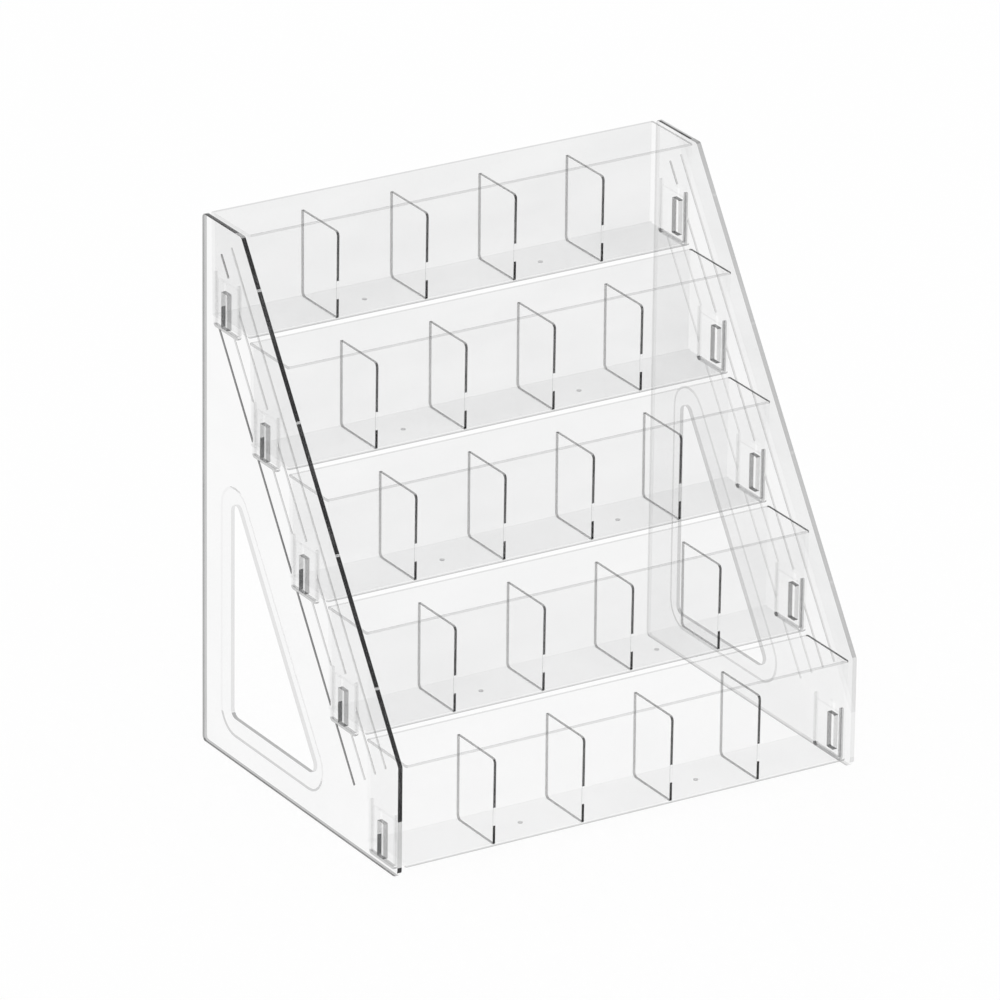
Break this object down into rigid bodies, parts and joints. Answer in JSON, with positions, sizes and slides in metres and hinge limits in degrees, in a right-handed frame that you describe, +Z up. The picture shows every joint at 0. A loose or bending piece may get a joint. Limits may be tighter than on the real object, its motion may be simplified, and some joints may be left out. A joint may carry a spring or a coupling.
{
  "type": "brochure rack",
  "caption": "Clear stepped tabletop brochure rack: side panels with windows carry hung trays split into leaflet pockets by lift-out dividers.",
  "frame": {"origin": "centre of the rack's footprint, on the surface it stands on", "axes": "+Z up, -Y towards the front where the lowest tray is, +X to the right as seen from the front"},
  "size_m": [0.54, 0.39, 0.577],
  "materials": {
    "clear_panel": "clear moulded plastic, polished",
    "clear_tray": "clear moulded plastic, polished",
    "clear_divider": "clear moulded plastic, polished"
  },
  "bodies": {
    "frame": {"side_panel_left": "clear_panel", "side_panel_right": "clear_panel"},
    "tray_1_body": {"tray_1": "clear_tray"},
    "tray_2_body": {"tray_2": "clear_tray"},
    "tray_3_body": {"tray_3": "clear_tray"},
    "tray_4_body": {"tray_4": "clear_tray"},
    "tray_5_body": {"tray_5": "clear_tray"},
    "divider_1_1_body": {"divider_1_1": "clear_divider"},
    "divider_1_2_body": {"divider_1_2": "clear_divider"},
    "divider_1_3_body": {"divider_1_3": "clear_divider"},
    "divider_1_4_body": {"divider_1_4": "clear_divider"},
    "divider_2_1_body": {"divider_2_1": "clear_divider"},
    "divider_2_2_body": {"divider_2_2": "clear_divider"},
    "divider_2_3_body": {"divider_2_3": "clear_divider"},
    "divider_2_4_body": {"divider_2_4": "clear_divider"},
    "divider_3_1_body": {"divider_3_1": "clear_divider"},
    "divider_3_2_body": {"divider_3_2": "clear_divider"},
    "divider_3_3_body": {"divider_3_3": "clear_divider"},
    "divider_3_4_body": {"divider_3_4": "clear_divider"},
    "divider_4_1_body": {"divider_4_1": "clear_divider"},
    "divider_4_2_body": {"divider_4_2": "clear_divider"},
    "divider_4_3_body": {"divider_4_3": "clear_divider"},
    "divider_4_4_body": {"divider_4_4": "clear_divider"},
    "divider_5_1_body": {"divider_5_1": "clear_divider"},
    "divider_5_2_body": {"divider_5_2": "clear_divider"},
    "divider_5_3_body": {"divider_5_3": "clear_divider"},
    "divider_5_4_body": {"divider_5_4": "clear_divider"}
  },
  "joints": [
    {"name": "tray_1_lift", "type": "slide", "parent": "frame", "child": "tray_1_body", "axis": [0, 0, 1], "range_m": [0, 0.012]},
    {"name": "tray_2_lift", "type": "slide", "parent": "frame", "child": "tray_2_body", "axis": [0, 0, 1], "range_m": [0, 0.012]},
    {"name": "tray_3_lift", "type": "slide", "parent": "frame", "child": "tray_3_body", "axis": [0, 0, 1], "range_m": [0, 0.012]},
    {"name": "tray_4_lift", "type": "slide", "parent": "frame", "child": "tray_4_body", "axis": [0, 0, 1], "range_m": [0, 0.012]},
    {"name": "tray_5_lift", "type": "slide", "parent": "frame", "child": "tray_5_body", "axis": [0, 0, 1], "range_m": [0, 0.012]},
    {"name": "divider_1_1_lift", "type": "slide", "parent": "tray_1_body", "child": "divider_1_1_body", "axis": [0, 0, 1], "range_m": [0, 0.115]},
    {"name": "divider_1_2_lift", "type": "slide", "parent": "tray_1_body", "child": "divider_1_2_body", "axis": [0, 0, 1], "range_m": [0, 0.115]},
    {"name": "divider_1_3_lift", "type": "slide", "parent": "tray_1_body", "child": "divider_1_3_body", "axis": [0, 0, 1], "range_m": [0, 0.115]},
    {"name": "divider_1_4_lift", "type": "slide", "parent": "tray_1_body", "child": "divider_1_4_body", "axis": [0, 0, 1], "range_m": [0, 0.115]},
    {"name": "divider_2_1_lift", "type": "slide", "parent": "tray_2_body", "child": "divider_2_1_body", "axis": [0, 0, 1], "range_m": [0, 0.115]},
    {"name": "divider_2_2_lift", "type": "slide", "parent": "tray_2_body", "child": "divider_2_2_body", "axis": [0, 0, 1], "range_m": [0, 0.115]},
    {"name": "divider_2_3_lift", "type": "slide", "parent": "tray_2_body", "child": "divider_2_3_body", "axis": [0, 0, 1], "range_m": [0, 0.115]},
    {"name": "divider_2_4_lift", "type": "slide", "parent": "tray_2_body", "child": "divider_2_4_body", "axis": [0, 0, 1], "range_m": [0, 0.115]},
    {"name": "divider_3_1_lift", "type": "slide", "parent": "tray_3_body", "child": "divider_3_1_body", "axis": [0, 0, 1], "range_m": [0, 0.115]},
    {"name": "divider_3_2_lift", "type": "slide", "parent": "tray_3_body", "child": "divider_3_2_body", "axis": [0, 0, 1], "range_m": [0, 0.115]},
    {"name": "divider_3_3_lift", "type": "slide", "parent": "tray_3_body", "child": "divider_3_3_body", "axis": [0, 0, 1], "range_m": [0, 0.115]},
    {"name": "divider_3_4_lift", "type": "slide", "parent": "tray_3_body", "child": "divider_3_4_body", "axis": [0, 0, 1], "range_m": [0, 0.115]},
    {"name": "divider_4_1_lift", "type": "slide", "parent": "tray_4_body", "child": "divider_4_1_body", "axis": [0, 0, 1], "range_m": [0, 0.115]},
    {"name": "divider_4_2_lift", "type": "slide", "parent": "tray_4_body", "child": "divider_4_2_body", "axis": [0, 0, 1], "range_m": [0, 0.115]},
    {"name": "divider_4_3_lift", "type": "slide", "parent": "tray_4_body", "child": "divider_4_3_body", "axis": [0, 0, 1], "range_m": [0, 0.115]},
    {"name": "divider_4_4_lift", "type": "slide", "parent": "tray_4_body", "child": "divider_4_4_body", "axis": [0, 0, 1], "range_m": [0, 0.115]},
    {"name": "divider_5_1_lift", "type": "slide", "parent": "tray_5_body", "child": "divider_5_1_body", "axis": [0, 0, 1], "range_m": [0, 0.115]},
    {"name": "divider_5_2_lift", "type": "slide", "parent": "tray_5_body", "child": "divider_5_2_body", "axis": [0, 0, 1], "range_m": [0, 0.115]},
    {"name": "divider_5_3_lift", "type": "slide", "parent": "tray_5_body", "child": "divider_5_3_body", "axis": [0, 0, 1], "range_m": [0, 0.115]},
    {"name": "divider_5_4_lift", "type": "slide", "parent": "tray_5_body", "child": "divider_5_4_body", "axis": [0, 0, 1], "range_m": [0, 0.115]}
  ]
}
